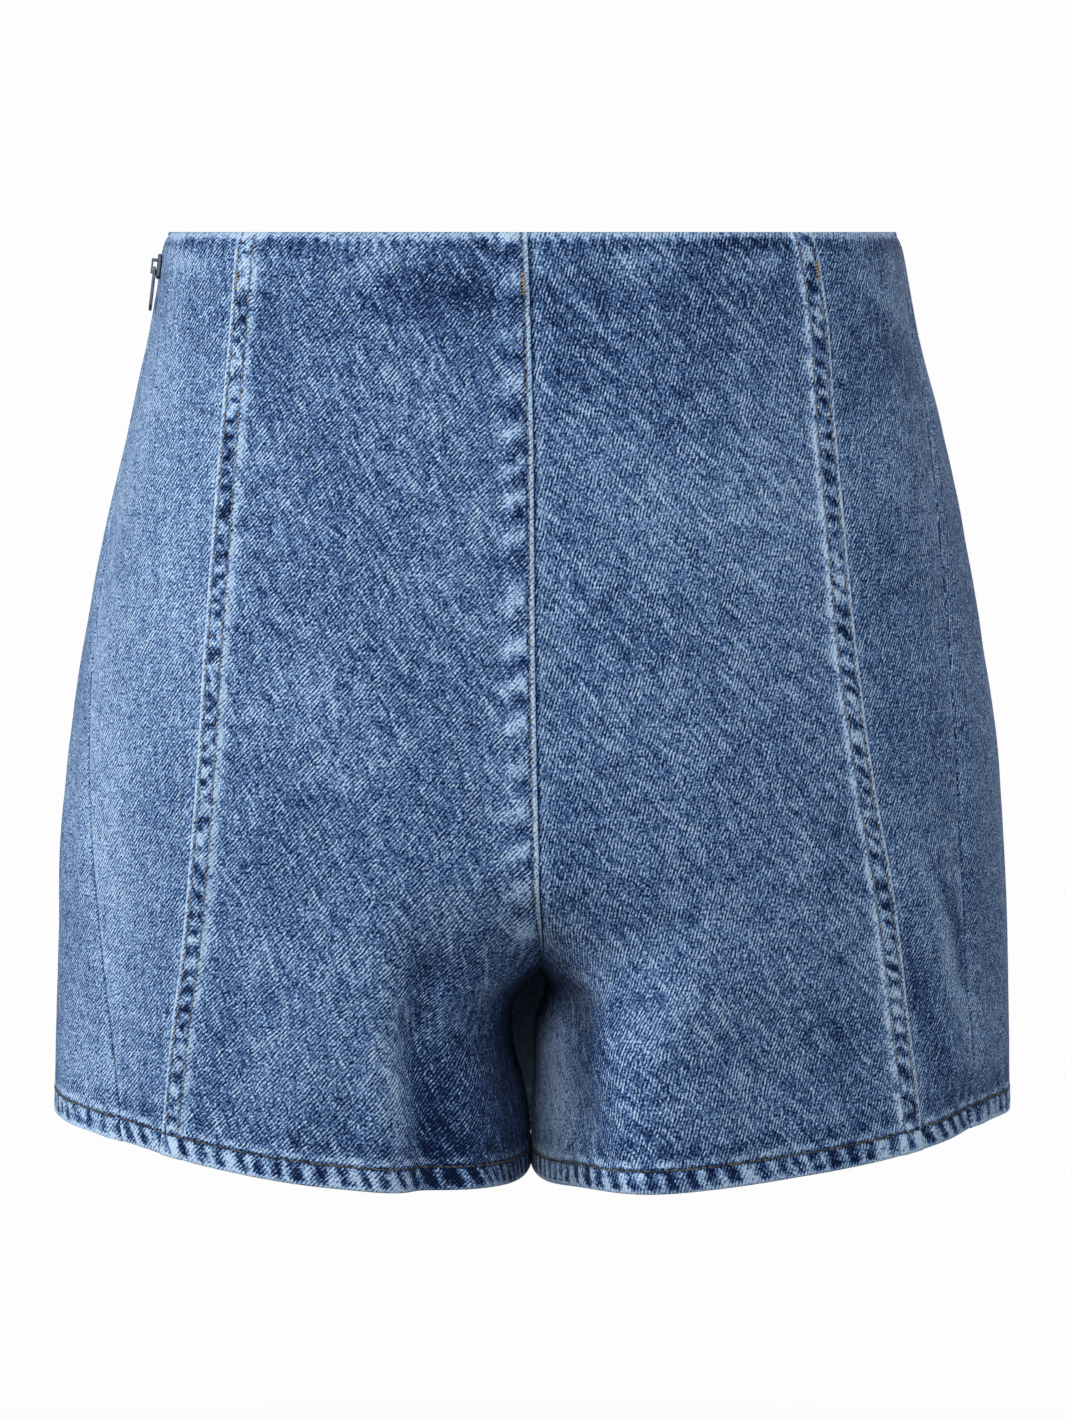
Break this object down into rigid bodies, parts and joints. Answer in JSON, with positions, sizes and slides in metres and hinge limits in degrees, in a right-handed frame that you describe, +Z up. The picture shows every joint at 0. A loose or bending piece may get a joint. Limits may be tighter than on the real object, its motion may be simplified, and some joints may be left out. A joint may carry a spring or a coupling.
{
  "type": "denim skort",
  "caption": "High-waisted denim skort in worn form: shorts with a skirt panel over the front, princess seams behind, a side zip, turned hems.",
  "frame": {"origin": "middle of the waist's top edge, where a wearer's waist holds the garment", "axes": "+Z up, the back of the garment faces -Y, the wearer's left is -X"},
  "size_m": [0.3595, 0.2499, 0.356],
  "materials": {
    "denim": "stone-washed mid-blue twill",
    "zip_tape": "woven navy tape",
    "zip_coil": "navy nylon coil",
    "zip_metal": "navy lacquered metal"
  },
  "bodies": {
    "garment": {"back_left": "denim", "back_right": "denim", "side_back_left": "denim", "side_back_right": "denim", "front_left": "denim", "front_right": "denim", "skirt_front": "denim", "zip_tape_back": "zip_tape", "zip_tape_front": "zip_tape", "zip_chain": "zip_coil", "zip_slider": "zip_metal"},
    "pull": {"zip_pull": "zip_metal"}
  },
  "joints": [
    {"name": "zip_pull_hinge", "type": "hinge", "parent": "garment", "child": "pull", "pos_m": [-0.14121, -0.0014, -0.01379], "axis": [-0.0071, 0.9711, -0.2387], "range_deg": [0, 135]}
  ]
}
